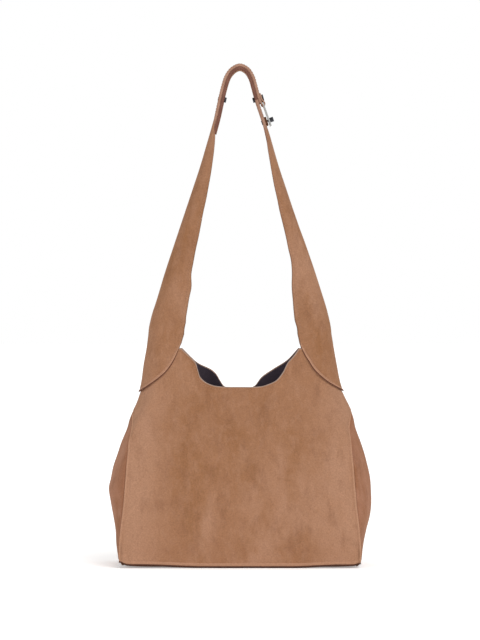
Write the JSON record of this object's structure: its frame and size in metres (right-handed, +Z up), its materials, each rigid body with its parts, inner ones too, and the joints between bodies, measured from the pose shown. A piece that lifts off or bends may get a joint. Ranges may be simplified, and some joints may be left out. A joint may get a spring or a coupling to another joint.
{
  "type": "hobo bag",
  "caption": "Slouchy suede shoulder bag with a scooped mouth, bulging side gussets and a tapering loop strap closed by a hinged frame over a knob.",
  "frame": {"origin": "middle of the footprint, on the surface the bag stands on", "axes": "+Z up along the strap's height, X along the bag's width, front panel faces -Y"},
  "size_m": [0.392, 0.1618, 0.7504],
  "materials": {
    "suede": "napped suede, mottled tan brown",
    "lining": "matt dark plum twill",
    "board": "matt stiffener sheet",
    "dark_metal": "dark gunmetal plating",
    "bright_metal": "polished nickel"
  },
  "bodies": {
    "bag": {"front_panel": "suede", "back_panel": "suede", "gusset_left": "suede", "gusset_right": "suede", "base_panel": "suede", "base_board": "board", "lining_front": "lining", "lining_back": "lining", "lining_left": "lining", "lining_right": "lining", "lining_base": "lining", "slip_pocket": "lining", "magnet_front": "dark_metal", "magnet_back": "dark_metal", "foot_left": "suede", "foot_right": "suede"},
    "strap": {"strap_left": "suede", "strap_right": "suede", "stud_left": "dark_metal", "stud_right": "dark_metal", "knob_patch": "suede", "catch_knob": "dark_metal"},
    "frame": {"buckle_frame": "bright_metal"}
  },
  "joints": [
    {"name": "strap_fold", "type": "hinge", "parent": "bag", "child": "strap", "pos_m": [0, 0, 0.35], "axis": [1, 0, 0], "range_deg": [-45, 45]},
    {"name": "frame_swing", "type": "hinge", "parent": "strap", "child": "frame", "pos_m": [0.0346, 0, 0.6904], "axis": [0, -1, 0], "range_deg": [0, 110]}
  ]
}
